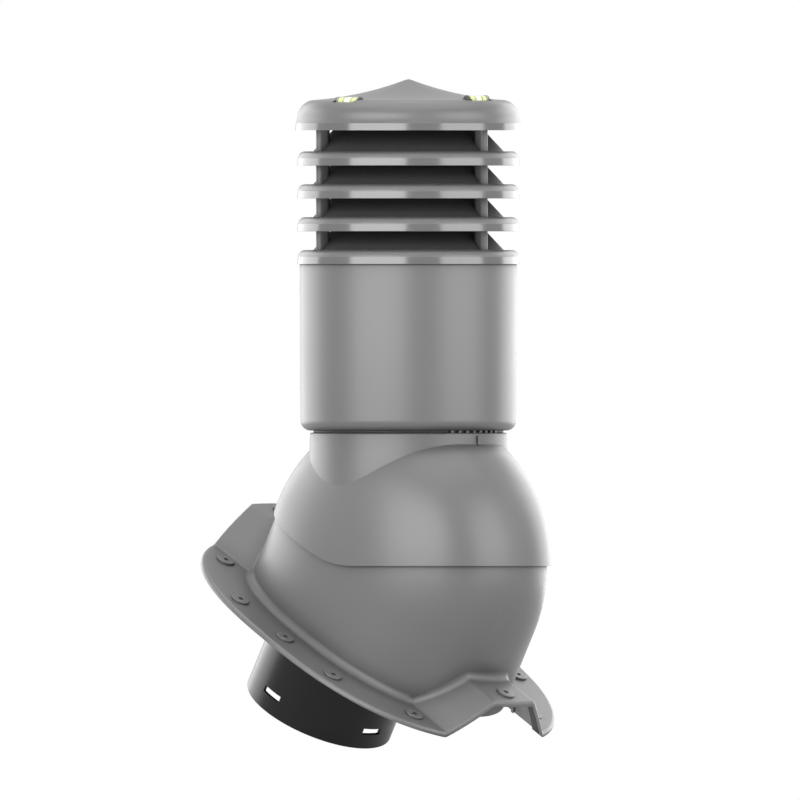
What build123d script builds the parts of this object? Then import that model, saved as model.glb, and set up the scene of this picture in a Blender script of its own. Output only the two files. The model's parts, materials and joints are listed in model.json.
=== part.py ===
from build123d import *
import os
from math import cos, degrees, hypot, radians, sin, sqrt, tan

# Roof ventilation chimney for a trapezoidal sheet roof. All sizes are in millimetres.
# +Z is plumb and runs up the chimney, +X points down the slope, +Y across it.
# The origin is where the chimney axis meets the roof pan.

# Roof and tilt
roof_pitch = 30.0            # slope that the chimney stands plumb on, degrees
tilt_centre_depth = 72.0     # square to the roof, from the pan up to the tilt axis
tilt_shallow = 20.0          # how far the outlet leans down the slope from here, degrees

# Duct, the size that the widths of everything round it follow
duct_radius = 62.5
duct_wall = 3.0
duct_foot_rise = 58.0        # bottom of the inner duct above the tilt axis
duct_top_rise = 3.0          # above the casing's deck
duct_room = 17.9             # from the duct out to the neck's outside
bead_width = 3.0
bead_height = 4.0
bead_round = 1.5

# Lower dome, moulded with the flange
dome_radius = 124.6
dome_side_room = 6.1         # from the neck's outside out to the dome's half width
dome_power = 2.4             # squareness of the oval; 2 is a plain ellipse
dome_wall = 2.5
dome_foot_radius = 6.0
mouth_margin = 1.5           # between the inner duct and the edges of the dome's mouth
floor_thickness = 2.5

# Flange and roof profile
flange_end_margin = 39.4     # from the dome to the flange's outline, along the slope
flange_side_margin = 40.4    # and across it
flange_power = 2.5
flange_wall = 2.5
rim_drop = 4.0               # depth of the turned-down rim
rim_wall = 3.0
rim_round = 3.0
crest_height = 33.7          # roof profile, crest above pan
crest_half_width = 22.8
crest_foot = 55.5            # half width of the crest where it meets the pan
crease_radius = 4.0
inner_rib_inset = 32.0       # second sealing rib, in from the rim
inner_rib_width = 2.5
boss_radius = 7.5
boss_height = 1.8
boss_round = 0.8
boss_hole_radius = 2.2
boss_end_inset_x = 38.3      # bosses near the ends of the two pans, in from the flange's half sizes
boss_end_inset_y = 58.7
boss_side_inset_x = 102.4
boss_side_inset_y = 20.2
boss_middle_inset = 18.4
boss_crest_inset = 15.0
seal_width = 8.0
seal_clearance = 0.3

# Duct stub under the roof
stub_offset = 30.8           # up the slope from the tilt axis
stub_drop = 82.2             # below the pan
stub_end_round = 1.0
stub_root_step = 0.5         # the root is larger by this much, which stops the duct
stub_root_drop = 11.5        # how far the root reaches below the pan
stub_root_taper = 1.5
stub_slot_rise = 16.0        # slot centre above the stub's end
stub_slot_length = 20.0
stub_slot_height = 5.3
stub_clearance = 0.5
collar_width = 12.0
collar_thickness = 3.0
gasket_thickness = 1.5
stub_screw_radius = 1.75
stub_screw_clearance = 0.25
stub_screw_head_radius = 3.5
stub_screw_head_height = 2.2
stub_screw_head_round = 1.1
stub_recess_length = 4.0
stub_recess_width = 0.9
stub_recess_depth = 1.2
stub_screw_length = 12.0
stub_screw_boss_radius = 4.5
stub_screw_boss_height = 8.0
stub_screw_count = 4
thread_clearance = 0.05

# Upper shell with its neck
shell_clearance = 1.0        # between the shell and the dome that it laps over
shell_wall = 2.2
edge_bend_start = 24.0       # where the shell's edge starts to rise, down the slope from the axis
edge_bend_radius = 110.0
edge_slope = 24.5            # degrees, up the slope
neck_stand = 9.46            # neck top above its highest meeting with the shell
neck_draft = 1.4             # wider by this much at its foot
neck_foot_drop = 48.8        # foot of the neck's cone below its top
neck_wall = 2.5
neck_round = 1.5
index_rib_width = 3.2
index_rib_height = 7.0
index_rib_drop = 2.8
index_rib_depth = 1.4

# Casing
casing_gap = 1.7             # open joint between neck and casing
casing_height = 135.7
casing_step = 7.7            # casing's foot wider than the neck
casing_draft = 0.7           # casing's top wider than its foot
casing_corner = 8.5
casing_wall = 2.5
spigot_depth = 9.0
spigot_wall = 2.5
spigot_clearance = 0.35
tooth_count = 8
tooth_step = 5.2             # degrees
tooth_width = 2.6
tooth_length = 2.0
ring_seat_height = 6.0
ring_seat_wall = 2.2

# Seal between spigot and neck
neck_seal_height = 4.0
neck_seal_groove = 1.2
neck_seal_rise = 2.5

# Insulation
sleeve_clearance = 0.3
sleeve_top_gap = 10.0

# Louvre rings
outlet_turn = 4.0            # the rings and hood sit turned by this much, degrees
louvre_overhang = 2.0        # beyond the casing's top
louvre_height = 11.6
louvre_wall = 2.2
louvre_shoulder = 6.0
louvre_flare = 0.8
louvre_flat_width = 13.0     # from the ring's edge in to the cone
louvre_mouth_inset = 5.5     # the cone's mouth is smaller than the duct by this much
louvre_cone_slope = 47.0     # degrees from level
louvre_pitch = 26.85
louvre_count = 4
post_proud = 3.2             # outer end of a post beyond the cone
post_length = 15.0
post_width = 7.5
post_count = 3
post_start = 3.0             # degrees, before the outlet's turn

# Hood
hood_gap = 28.8              # from the top ring's edge up to the hood's edge
hood_overhang = 1.6          # beyond the rings
hood_lip_height = 6.1
hood_lip_step = 0.8          # the next five are drawn in from the lip
hood_lip_bevel = 0.35
hood_shoulder_inset = 1.8
hood_bend_inset = 6.5
hood_cone_inset = 14.5
hood_shoulder_rise = 11.3
hood_bend_rise = 21.0
hood_cone_rise = 24.7
hood_sag_radius = 33.1
hood_sag_rise = 31.7
hood_tip_radius = 3.0
hood_tip_rise = 41.0
hood_apex_rise = 41.8
hood_wall = 2.2
hood_boss_radius = 5.0

# Tie rods through the posts
tie_radius = 2.0
tie_clearance = 0.3
tie_bite = 9.0
tie_foot = 1.0               # rod end below its nut
tie_nut_height = 3.2
tie_nut_across = 7.0
tie_washer_radius = 4.5
tie_washer_thickness = 0.8

# Spirit levels in the hood
level_radius = 3.8
level_length = 22.0
level_wall = 0.7
level_end_wall = 1.4
level_inset = 18.9           # tube centre in from the hood's lip
level_cup_clearance = 0.05
level_cup_notch = 0.8        # floor of the notch below the tube's centre
level_cup_wall = 1.4
level_bubble_length = 6.5
level_bubble_depth = 1.7
level_downhill_rise = 24.9   # tube centre above the hood's edge
level_across_rise = 23.6

# Worked out from the sizes above
stub_root_radius = duct_radius + stub_root_step
neck_radius = duct_radius + duct_room
neck_foot_radius = neck_radius + neck_draft
dome_half_width = neck_radius + dome_side_room
flange_half_length = dome_radius + flange_end_margin
flange_half_width = dome_half_width + flange_side_margin
shell_radius = dome_radius + shell_clearance + shell_wall
shell_half_width = dome_half_width + shell_clearance + shell_wall
neck_rise = sqrt(shell_radius ** 2 - neck_radius ** 2) + neck_stand
casing_foot_radius = neck_radius + casing_step
casing_top_radius = casing_foot_radius + casing_draft
louvre_radius = casing_top_radius + louvre_overhang
louvre_flat_radius = louvre_radius - louvre_flat_width
louvre_mouth_radius = duct_radius - louvre_mouth_inset
post_outer_radius = louvre_flat_radius + post_proud
tie_ring_radius = post_outer_radius - post_length / 2
hood_lip_radius = louvre_radius + hood_overhang
level_place_radius = hood_lip_radius - level_inset
tilt_height = tilt_centre_depth / cos(radians(roof_pitch))
pan_top = -tilt_centre_depth + rim_drop
crest_top = pan_top + crest_height
collar_top = pan_top + gasket_thickness + collar_thickness
stub_end = -tilt_centre_depth - stub_drop
neck_top = tilt_height + neck_rise
neck_bore = neck_radius - neck_wall
casing_foot = neck_top + casing_gap
casing_top = casing_foot + casing_height
spigot_radius = neck_bore - spigot_clearance
seat_level = louvre_height - louvre_wall
hood_foot = casing_top + (louvre_count - 1) * louvre_pitch + hood_gap
post_top = louvre_pitch + seat_level
hood_boss_foot = casing_top + (louvre_count - 1) * louvre_pitch + post_top
post_angles = [post_start + outlet_turn + 360 * n / post_count for n in range(post_count)]
tie_start = casing_top - casing_wall - tie_washer_thickness - tie_nut_height - tie_foot
tie_end = hood_boss_foot + tie_bite
overlap = 1.0                # how far joined shapes and cuts run into each other
through = 20.0               # depth of a cut right through a wall
far = 400.0
UP = (Align.CENTER, Align.CENTER, Align.MIN)
DOWN = (Align.CENTER, Align.CENTER, Align.MAX)

os.makedirs("parts", exist_ok=True)


def on_roof(shape):
    """Place a shape made in the roof's own frame, whose origin is on the tilt axis."""
    return Pos(0, 0, tilt_height) * Rot(0, roof_pitch, 0) * shape


def around(angle, radius, shape):
    """Turn a shape about the chimney axis after moving it out to a radius."""
    return Rot(0, 0, angle) * Pos(radius, 0, 0) * shape


def section(points):
    """A closed outline of radius and height, where a third value rounds that corner."""
    face = make_face(Polyline(*[point[:2] for point in points], close=True))
    for point in points:
        if len(point) == 3:
            corner = [
                vertex for vertex in face.vertices()
                if hypot(vertex.X - point[0], vertex.Y - point[1]) < 0.01
            ]
            face = fillet(corner, point[2])
    return face


def turned(points):
    """Revolve a section about the upright axis."""
    return revolve(Plane.XZ * section(points), Axis.Z, 360)


def tube(outer, inner, low, high):
    """A plain upright tube between two heights."""
    height = high - low
    return Pos(0, 0, low) * (Cylinder(outer, height, align=UP) - Cylinder(inner, height, align=UP))


def half_oval(half_x, half_y, power):
    """The half of a rounded-square oval with x above 0, as one curve from low to high y."""
    steps = 16
    points = [(0, -half_y)]
    for step in range(1, steps):
        angle = radians(-90 + 180 * step / steps)
        across = abs(sin(angle)) ** (2 / power)
        points.append((half_x * cos(angle) ** (2 / power), half_y * across * (1 if angle >= 0 else -1)))
    points.append((0, half_y))
    return Spline(points, tangents=[(1, 0), (-1, 0)])


def oval_face(half_x, half_y, power):
    """A closed rounded-square oval in the XY plane."""
    right = half_oval(half_x, half_y, power)
    return make_face([right, mirror(right, about=Plane.YZ)])


def oval_body(half_x, half_y, power):
    """The solid that the half oval makes when it turns about the Y axis."""
    right = half_oval(half_x, half_y, power)
    return revolve(make_face([right, Line((0, half_y), (0, -half_y))]), Axis.Y, 360)


def dome_form(half_x, half_y, foot):
    """Round about the tilt axis above it, and straight down below it to the foot."""
    upper = oval_body(half_x, half_y, dome_power) & Pos(0, 0, far / 2) * Box(far, far, far)
    return upper + extrude(oval_face(half_x, half_y, dome_power), foot)


def roof_band(top_offset, bottom_offset):
    """A band that follows the roof profile, between two offsets from the sheet's top face."""
    edge = flange_half_width + through
    curves = []
    for offset in (top_offset, bottom_offset):
        curves.append(FilletPolyline(
            (-edge, pan_top + offset),
            (-crest_foot, pan_top + offset),
            (-crest_half_width, crest_top + offset),
            (crest_half_width, crest_top + offset),
            (crest_foot, pan_top + offset),
            (edge, pan_top + offset),
            radius=crease_radius,
        ))
    top, bottom = curves
    face = make_face([top, Line(top @ 1, bottom @ 1), bottom, Line(bottom @ 0, top @ 0)])
    half_length = flange_half_length + overlap
    profile = Plane(origin=(-half_length, 0, 0), x_dir=(0, 1, 0), z_dir=(1, 0, 0)) * face
    return extrude(profile, 2 * half_length, dir=(1, 0, 0))


def flange_block(inset):
    """A tall block with the flange's outline, drawn in by an inset."""
    face = oval_face(flange_half_length - inset, flange_half_width - inset, flange_power)
    return extrude(Pos(0, 0, -far / 2) * face, far)


def sheet_top(y):
    """Height of the sheet's top face at a distance across the slope."""
    share = (crest_foot - abs(y)) / (crest_foot - crest_half_width)
    return pan_top + crest_height * min(max(share, 0), 1)


def on_oval(point, half_x, half_y, power):
    """True where a point lies on an upright oval wall."""
    return abs(abs(point.X / half_x) ** power + abs(point.Y / half_y) ** power - 1) < 0.02


def edges_on_sheet(body, half_x, half_y, power):
    """Edges where an upright oval wall meets the sheet's top face."""
    found = []
    for edge in body.edges():
        points = [edge @ place for place in (0.05, 0.5, 0.95)]
        if all(
            on_oval(point, half_x, half_y, power)
            and abs(point.Z - sheet_top(point.Y)) < rim_drop / 2
            for point in points
        ):
            found.append(edge)
    return found


def boss_places():
    """Each screw boss as x, y and the height of the sheet under it."""
    end = (flange_half_length - boss_end_inset_x, flange_half_width - boss_end_inset_y)
    side = (flange_half_length - boss_side_inset_x, flange_half_width - boss_side_inset_y)
    places = []
    for x, y in (end, side):
        for sign_x in (-1, 1):
            for sign_y in (-1, 1):
                places.append((sign_x * x, sign_y * y, pan_top))
    for sign in (-1, 1):
        places.append((0, sign * (flange_half_width - boss_middle_inset), pan_top))
        places.append((sign * (flange_half_length - boss_crest_inset), 0, crest_top))
    return places


def stub_screw_places():
    """Screw places in the roof's frame, round the stub's axis."""
    radius = duct_radius + collar_width / 2
    places = []
    for index in range(stub_screw_count):
        angle = radians(45 + 360 * index / stub_screw_count)
        places.append((radius * cos(angle) - stub_offset, radius * sin(angle)))
    return places


def dome_mouth():
    """The slot in the dome that the duct swings in, from plumb to its shallow lean."""
    reach = duct_radius + mouth_margin
    low_lean = radians(roof_pitch - tilt_shallow)
    high_lean = radians(roof_pitch)
    corners = [(0, 0), (-far * sin(high_lean), far * cos(high_lean))]
    corners.append((-far * sin(low_lean), far * cos(low_lean)))
    wedge = extrude(Plane.XZ * make_face(Polyline(*corners, close=True)), reach, both=True)
    bore = Cylinder(reach, far, align=UP)
    return wedge + Rot(0, -degrees(low_lean), 0) * bore + Rot(0, -degrees(high_lean), 0) * bore


def make_roof_base():
    """Flange, dome and floor, moulded as one piece."""
    sheet = roof_band(0, -rim_drop) & flange_block(0)
    rim = edges_on_sheet(sheet, flange_half_length, flange_half_width, flange_power)
    sheet = fillet(rim, rim_round)
    under = roof_band(-flange_wall, -rim_drop - overlap)
    inner_rib = flange_block(inner_rib_inset) - flange_block(inner_rib_inset + inner_rib_width)
    sheet -= (under & flange_block(rim_wall)) - inner_rib
    body = sheet + dome_form(dome_radius, dome_half_width, pan_top - flange_wall)
    foot = edges_on_sheet(body, dome_radius, dome_half_width, dome_power)
    body = fillet(foot, dome_foot_radius)
    inside = (dome_radius - dome_wall, dome_half_width - dome_wall)
    body -= dome_form(*inside, pan_top - flange_wall + floor_thickness)
    body -= dome_mouth()
    for x, y, height in boss_places():
        boss = Cylinder(boss_radius, boss_height, align=UP)
        top_edge = boss.edges().sort_by(Axis.Z)[-1]
        body += Pos(x, y, height) * fillet(top_edge, boss_round)
    for x, y, height in boss_places():
        body -= Pos(x, y, height) * Cylinder(boss_hole_radius, through)
    hole_depth = stub_screw_length - gasket_thickness
    screw_hole = Cylinder(stub_screw_radius + thread_clearance, hole_depth, align=DOWN)
    for x, y in stub_screw_places():
        place = Pos(x, y, pan_top)
        boss_depth = flange_wall + stub_screw_boss_height
        body += place * Cylinder(stub_screw_boss_radius, boss_depth, align=DOWN)
        body -= Pos(x, y, pan_top + overlap) * screw_hole
    body -= Pos(-stub_offset, 0, pan_top) * Cylinder(stub_root_radius + stub_clearance, through)
    return body


def make_flange_seal():
    """A foam strip that follows the roof profile inside the turned-down rim."""
    outer = rim_wall + seal_clearance
    strip = roof_band(-flange_wall, -rim_drop) & flange_block(outer)
    return strip - flange_block(outer + seal_width)


def make_duct_stub():
    """Black tube square to the roof, with a screwed collar and four latch slots at its end."""
    inner = duct_radius - duct_wall
    root_foot = pan_top - stub_root_drop
    collar_foot = collar_top - collar_thickness
    stub = turned([
        (inner, stub_end), (duct_radius, stub_end), (duct_radius, root_foot - stub_root_taper),
        (stub_root_radius, root_foot), (stub_root_radius, collar_foot),
        (duct_radius + collar_width, collar_foot), (duct_radius + collar_width, collar_top),
        (inner, collar_top),
    ])
    stub = fillet(stub.edges().group_by(Axis.Z)[0], stub_end_round)
    for angle in (0, 90, 180, 270):
        slot = Box(through, stub_slot_length, stub_slot_height)
        stub -= Pos(0, 0, stub_end + stub_slot_rise) * around(angle, duct_radius, slot)
    stub = Pos(-stub_offset, 0, 0) * stub
    for x, y in stub_screw_places():
        stub -= Pos(x, y, collar_top) * Cylinder(stub_screw_radius + stub_screw_clearance, through)
    return stub


def make_stub_gasket():
    """A flat rubber ring between the stub's collar and the floor."""
    ring = tube(
        duct_radius + collar_width, stub_root_radius + stub_clearance,
        pan_top, pan_top + gasket_thickness,
    )
    ring = Pos(-stub_offset, 0, 0) * ring
    for x, y in stub_screw_places():
        ring -= Pos(x, y, pan_top) * Cylinder(stub_screw_radius + stub_screw_clearance, through)
    return ring


def make_stub_screw(x, y):
    """A pan-head screw with a cross recess."""
    head = Cylinder(stub_screw_head_radius, stub_screw_head_height, align=UP)
    head = fillet(head.edges().sort_by(Axis.Z)[-1], stub_screw_head_round)
    for angle in (0, 90):
        recess = Box(stub_recess_length, stub_recess_width, 2 * stub_recess_depth)
        head -= Pos(0, 0, stub_screw_head_height) * Rot(0, 0, angle) * recess
    shank = Cylinder(stub_screw_radius, stub_screw_length, align=DOWN)
    return Pos(x, y, collar_top) * (head + shank)


def above_shell_edge():
    """The space above the shell's lower edge, which bends up towards the ridge."""
    slope = radians(edge_slope)
    bend_end_x = edge_bend_start - edge_bend_radius * sin(slope)
    bend_end_z = edge_bend_radius * (1 - cos(slope))
    half = radians(edge_slope / 2)
    middle = (
        edge_bend_start - edge_bend_radius * sin(half),
        edge_bend_radius * (1 - cos(half)),
    )
    far_up = (-far, bend_end_z + (far + bend_end_x) * sin(slope) / cos(slope))
    edges = [
        Line((far, 0), (edge_bend_start, 0)),
        ThreePointArc((edge_bend_start, 0), middle, (bend_end_x, bend_end_z)),
        Line((bend_end_x, bend_end_z), far_up),
        Line(far_up, (-far, far)),
        Line((-far, far), (far, far)),
        Line((far, far), (far, 0)),
    ]
    return extrude(Plane.XZ * make_face(edges), far, both=True)


def make_tilt_shell():
    """The upper shell that laps over the dome, with the neck that takes the casing."""
    shell = oval_body(shell_radius, shell_half_width, dome_power)
    shell += turned([
        (0, neck_rise - neck_foot_drop), (neck_foot_radius, neck_rise - neck_foot_drop),
        (neck_radius, neck_rise, neck_round), (0, neck_rise),
    ])
    shell -= oval_body(shell_radius - shell_wall, shell_half_width - shell_wall, dome_power)
    shell -= Cylinder(neck_bore, far, align=UP)
    shell &= above_shell_edge()
    rib = Box(neck_wall + index_rib_depth, index_rib_width, index_rib_height, align=DOWN)
    rib_radius = neck_bore + (neck_wall + index_rib_depth) / 2 + spigot_clearance
    shell += Pos(rib_radius, 0, neck_rise - index_rib_drop) * rib
    tooth = Box(tooth_length, tooth_width, casing_gap, align=UP)
    for index in range(tooth_count):
        angle = tooth_step * (index - (tooth_count - 1) / 2)
        shell += Pos(0, 0, neck_rise) * around(angle, neck_bore + tooth_length / 2, tooth)
    return Pos(0, 0, tilt_height) * shell


def make_neck_seal():
    """A rubber ring in the spigot's groove that closes the joint with the neck."""
    low = casing_foot - spigot_depth + neck_seal_rise
    inner = spigot_radius - neck_seal_groove
    return tube(neck_bore - thread_clearance, inner, low, low + neck_seal_height)


def make_body_casing():
    """The outer casing, with its spigot below and a ledge for the deck inside its top."""
    deck_seat = casing_top - casing_wall
    casing = turned([
        (0, casing_foot), (casing_foot_radius, casing_foot, casing_corner),
        (casing_top_radius, casing_top), (0, casing_top),
    ])
    casing -= turned([
        (0, casing_foot + casing_wall),
        (casing_foot_radius - casing_wall, casing_foot + casing_wall, casing_corner - casing_wall),
        (casing_top_radius - casing_wall, casing_top), (0, casing_top),
    ])
    ledge_inner = casing_top_radius - 2 * casing_wall
    wall_middle = casing_top_radius - casing_wall / 2
    casing += turned([
        (ledge_inner, deck_seat - 2 * casing_wall), (wall_middle, deck_seat - 3 * casing_wall),
        (wall_middle, deck_seat), (ledge_inner, deck_seat),
    ])
    spigot_foot = casing_foot - spigot_depth
    casing += tube(spigot_radius, spigot_radius - spigot_wall, spigot_foot, casing_foot + overlap)
    groove = spigot_foot + neck_seal_rise
    groove_radius = spigot_radius - neck_seal_groove
    casing -= tube(spigot_radius + overlap, groove_radius, groove, groove + neck_seal_height)
    casing -= Pos(0, 0, casing_foot) * Cylinder(duct_radius + sleeve_clearance, through)
    return casing


def make_casing_deck():
    """The lid of the casing, with a locating rim and three short posts for the first ring."""
    inner = duct_radius + sleeve_clearance
    outer = casing_top_radius - casing_wall - sleeve_clearance
    deck = tube(outer, inner, casing_top - casing_wall, casing_top)
    deck += tube(outer, outer - ring_seat_wall, casing_top - overlap, casing_top + ring_seat_height)
    for angle in post_angles:
        post = Box(post_length, post_width, seat_level, align=UP)
        deck += Pos(0, 0, casing_top) * around(angle, post_outer_radius - post_length / 2, post)
    for angle in post_angles:
        hole = Cylinder(tie_radius + tie_clearance, far)
        deck -= Pos(0, 0, casing_top) * around(angle, tie_ring_radius, hole)
    return deck


def make_insulation_sleeve():
    """Foam between the duct and the casing."""
    low = casing_foot + casing_wall + sleeve_clearance
    high = casing_top - casing_wall - sleeve_top_gap
    skin = casing_wall + sleeve_clearance
    sleeve = turned([
        (duct_radius + sleeve_clearance, low),
        (casing_foot_radius - skin, low, casing_corner - casing_wall),
        (casing_foot_radius - skin, high), (duct_radius + sleeve_clearance, high),
    ])
    bead_room = duct_radius + bead_width + sleeve_clearance
    return sleeve - tube(bead_room, duct_radius, low - overlap, low + bead_height)


def make_inner_duct():
    """Black duct through the casing, held up by a bead on the casing's floor."""
    low = tilt_height + duct_foot_rise
    duct = tube(duct_radius, duct_radius - duct_wall, low, casing_top + duct_top_rise)
    floor = casing_foot + casing_wall
    inside = duct_radius - overlap
    bead = turned([
        (inside, floor), (duct_radius + bead_width, floor),
        (duct_radius + bead_width, floor + bead_height, bead_round), (inside, floor + bead_height),
    ])
    return duct + bead


def make_louvre_ring(index):
    """A turned-down ring with a sloping upstand and three posts that carry the next one."""
    rise = (louvre_flat_radius - louvre_mouth_radius) * tan(radians(louvre_cone_slope))
    upright = louvre_wall / cos(radians(louvre_cone_slope))
    under_radius = louvre_flat_radius - (upright - louvre_wall) / tan(radians(louvre_cone_slope))
    shoulder_radius = louvre_radius - louvre_flare
    ring = turned([
        (louvre_radius, 0), (shoulder_radius, louvre_height, louvre_shoulder),
        (louvre_flat_radius, louvre_height), (louvre_mouth_radius, louvre_height + rise),
        (louvre_mouth_radius, louvre_height + rise - upright), (under_radius, seat_level),
        (shoulder_radius - louvre_wall, seat_level, louvre_shoulder - louvre_wall),
        (louvre_radius - louvre_wall, 0),
    ])
    under_cone = turned([
        (0, 0), (under_radius, seat_level), (louvre_mouth_radius, louvre_height + rise - upright),
        (0, louvre_height + rise),
    ])
    over_cone = turned([
        (louvre_mouth_radius, louvre_height + rise - overlap), (louvre_flat_radius, louvre_height - overlap),
        (louvre_radius, louvre_height - overlap), (louvre_radius, far), (louvre_mouth_radius, far),
    ])
    for angle in post_angles:
        middle = post_outer_radius - post_length / 2
        pad = Pos(0, 0, seat_level) * Box(post_length, post_width, far, align=UP)
        post = Box(post_length, post_width, post_top, align=UP)
        ring += around(angle, middle, pad) & (under_cone + ring)
        ring += around(angle, middle, post) & over_cone
    for angle in post_angles:
        ring -= around(angle, tie_ring_radius, Cylinder(tie_radius + tie_clearance, far))
    return Pos(0, 0, casing_top + index * louvre_pitch) * ring


def hood_section(inset):
    """Half section of the hood, drawn in by an inset."""
    foot = -overlap if inset else 0
    lip = hood_lip_radius - inset
    skirt = lip - hood_lip_step
    slanted = inset * cos(radians(45))
    side = (lip - hood_shoulder_inset, hood_shoulder_rise)
    bend = (hood_lip_radius - hood_bend_inset - slanted, hood_bend_rise - slanted)
    cone = (hood_lip_radius - hood_cone_inset, hood_cone_rise - inset)
    sag = (hood_sag_radius, hood_sag_rise - inset)
    tip = (hood_tip_radius, hood_tip_rise - inset)
    apex = (0, hood_apex_rise - inset)
    return make_face([
        Polyline(
            apex, (0, foot), (lip, foot),
            (skirt + hood_lip_bevel, hood_lip_height - hood_lip_bevel),
            (skirt, hood_lip_height), side,
        ),
        ThreePointArc(side, bend, cone),
        ThreePointArc(cone, sag, tip),
        Line(tip, apex),
    ])


def level_places():
    """Angle and height of each spirit level, one down the slope and one across it."""
    return [
        ("downhill", outlet_turn, level_downhill_rise),
        ("across", outlet_turn - 90, level_across_rise),
    ]


def lying(radius, length):
    """A round bar lying along Y."""
    return Rot(90, 0, 0) * Cylinder(radius, length)


def make_hood():
    """Rain hood with bosses for the tie rods and two open cups for the spirit levels."""
    hood = revolve(Plane.XZ * hood_section(0), Axis.Z, 360)
    hollow = revolve(Plane.XZ * hood_section(hood_wall), Axis.Z, 360)
    boss_foot = hood_boss_foot - hood_foot
    bosses = []
    for angle in post_angles:
        boss = Pos(0, 0, boss_foot) * Cylinder(hood_boss_radius, far, align=UP)
        bosses.append(around(angle, tie_ring_radius, boss))
    cups = []
    for name, angle, rise in level_places():
        cup_radius = level_radius + level_cup_clearance + level_cup_wall
        cup_length = level_length + 2 * level_cup_wall
        cup = Pos(0, 0, rise) * lying(cup_radius, cup_length)
        cups.append(around(angle, level_place_radius, cup))
    core = hollow
    for solid in bosses + cups:
        core -= solid
    hood -= core
    for name, angle, rise in level_places():
        end_disc = lying(level_radius, level_length + 2 * level_cup_wall)
        hood += around(angle, level_place_radius, Pos(0, 0, rise) * end_disc)
    for name, angle, rise in level_places():
        room_length = level_length + 2 * level_cup_clearance
        outward = (Align.MIN, Align.CENTER, Align.MIN)
        notch = Pos(0, 0, -level_cup_notch) * Box(through, room_length, through, align=outward)
        over = Box(2 * level_radius, room_length, through, align=UP)
        room = lying(level_radius + level_cup_clearance, room_length)
        hood -= around(angle, level_place_radius, Pos(0, 0, rise) * (room + notch + over))
    for angle in post_angles:
        hole = Pos(0, 0, boss_foot) * Cylinder(tie_radius + thread_clearance, tie_bite + overlap, align=UP)
        hood -= around(angle, tie_ring_radius, hole)
    return Pos(0, 0, hood_foot) * hood


def make_tie_rod(angle):
    """A threaded rod from under the deck up into the hood's boss."""
    rod = Cylinder(tie_radius, tie_end - tie_start, align=UP)
    return around(angle, tie_ring_radius, Pos(0, 0, tie_start) * rod)


def make_tie_nut(angle):
    """A hexagon nut with its washer, under the deck."""
    nut = extrude(RegularPolygon(tie_nut_across / 2, 6, major_radius=False), -tie_nut_height)
    washer = Cylinder(tie_washer_radius, tie_washer_thickness, align=UP)
    bore = Cylinder(tie_radius + thread_clearance, far)
    place = Pos(0, 0, casing_top - casing_wall - tie_washer_thickness)
    return around(angle, tie_ring_radius, place * (nut + washer - bore))


def make_level_tube(angle, rise):
    """The clear tube of a spirit level."""
    glass = lying(level_radius, level_length)
    glass -= lying(level_radius - level_wall, level_length - 2 * level_end_wall)
    return Pos(0, 0, hood_foot) * around(angle, level_place_radius, Pos(0, 0, rise) * glass)


def make_level_fluid(angle, rise):
    """The fluid of a spirit level, with room for its bubble at the top."""
    radius = level_radius - level_wall - level_cup_clearance
    fluid = lying(radius, level_length - 2 * level_end_wall - 2 * level_cup_clearance)
    bubble = Pos(0, 0, radius) * scale(Sphere(1), (
        level_bubble_depth, level_bubble_length / 2, level_bubble_depth,
    ))
    fluid -= bubble
    return Pos(0, 0, hood_foot) * around(angle, level_place_radius, Pos(0, 0, rise) * fluid)


def make_all():
    """Every piece by its name."""
    pieces = {
        "roof_base": on_roof(make_roof_base()),
        "flange_seal": on_roof(make_flange_seal()),
        "duct_stub": on_roof(make_duct_stub()),
        "stub_gasket": on_roof(make_stub_gasket()),
        "tilt_shell": make_tilt_shell(),
        "neck_seal": make_neck_seal(),
        "body_casing": make_body_casing(),
        "casing_deck": make_casing_deck(),
        "insulation_sleeve": make_insulation_sleeve(),
        "inner_duct": make_inner_duct(),
        "hood": make_hood(),
    }
    for index, (x, y) in enumerate(stub_screw_places()):
        pieces[f"stub_screw_{index + 1}"] = on_roof(make_stub_screw(x, y))
    for index in range(louvre_count):
        pieces[f"louvre_ring_{index + 1}"] = make_louvre_ring(index)
    for index, angle in enumerate(post_angles):
        pieces[f"tie_rod_{index + 1}"] = make_tie_rod(angle)
        pieces[f"tie_nut_{index + 1}"] = make_tie_nut(angle)
    for name, angle, rise in level_places():
        pieces[f"level_tube_{name}"] = make_level_tube(angle, rise)
        pieces[f"level_fluid_{name}"] = make_level_fluid(angle, rise)
    return pieces


for name, piece in make_all().items():
    export_step(piece, f"parts/{name}.step")
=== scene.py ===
# %% [markdown]
# # A roof ventilation chimney
#
# The object is a moulded plastic roof vent: a flange shaped for trapezoidal sheet with a dome on
# it, a shell that laps over the dome and tilts, a casing, four louvre rings and a rain hood with
# two spirit levels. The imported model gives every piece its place, in metres. This script adds the
# finer meshes and the finishes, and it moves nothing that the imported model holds.

# %% Load the frame
import json
from math import atan2, cos, hypot, pi, radians, sin, tan

import bmesh
import bpy
from mathutils import Matrix, Vector


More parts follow.
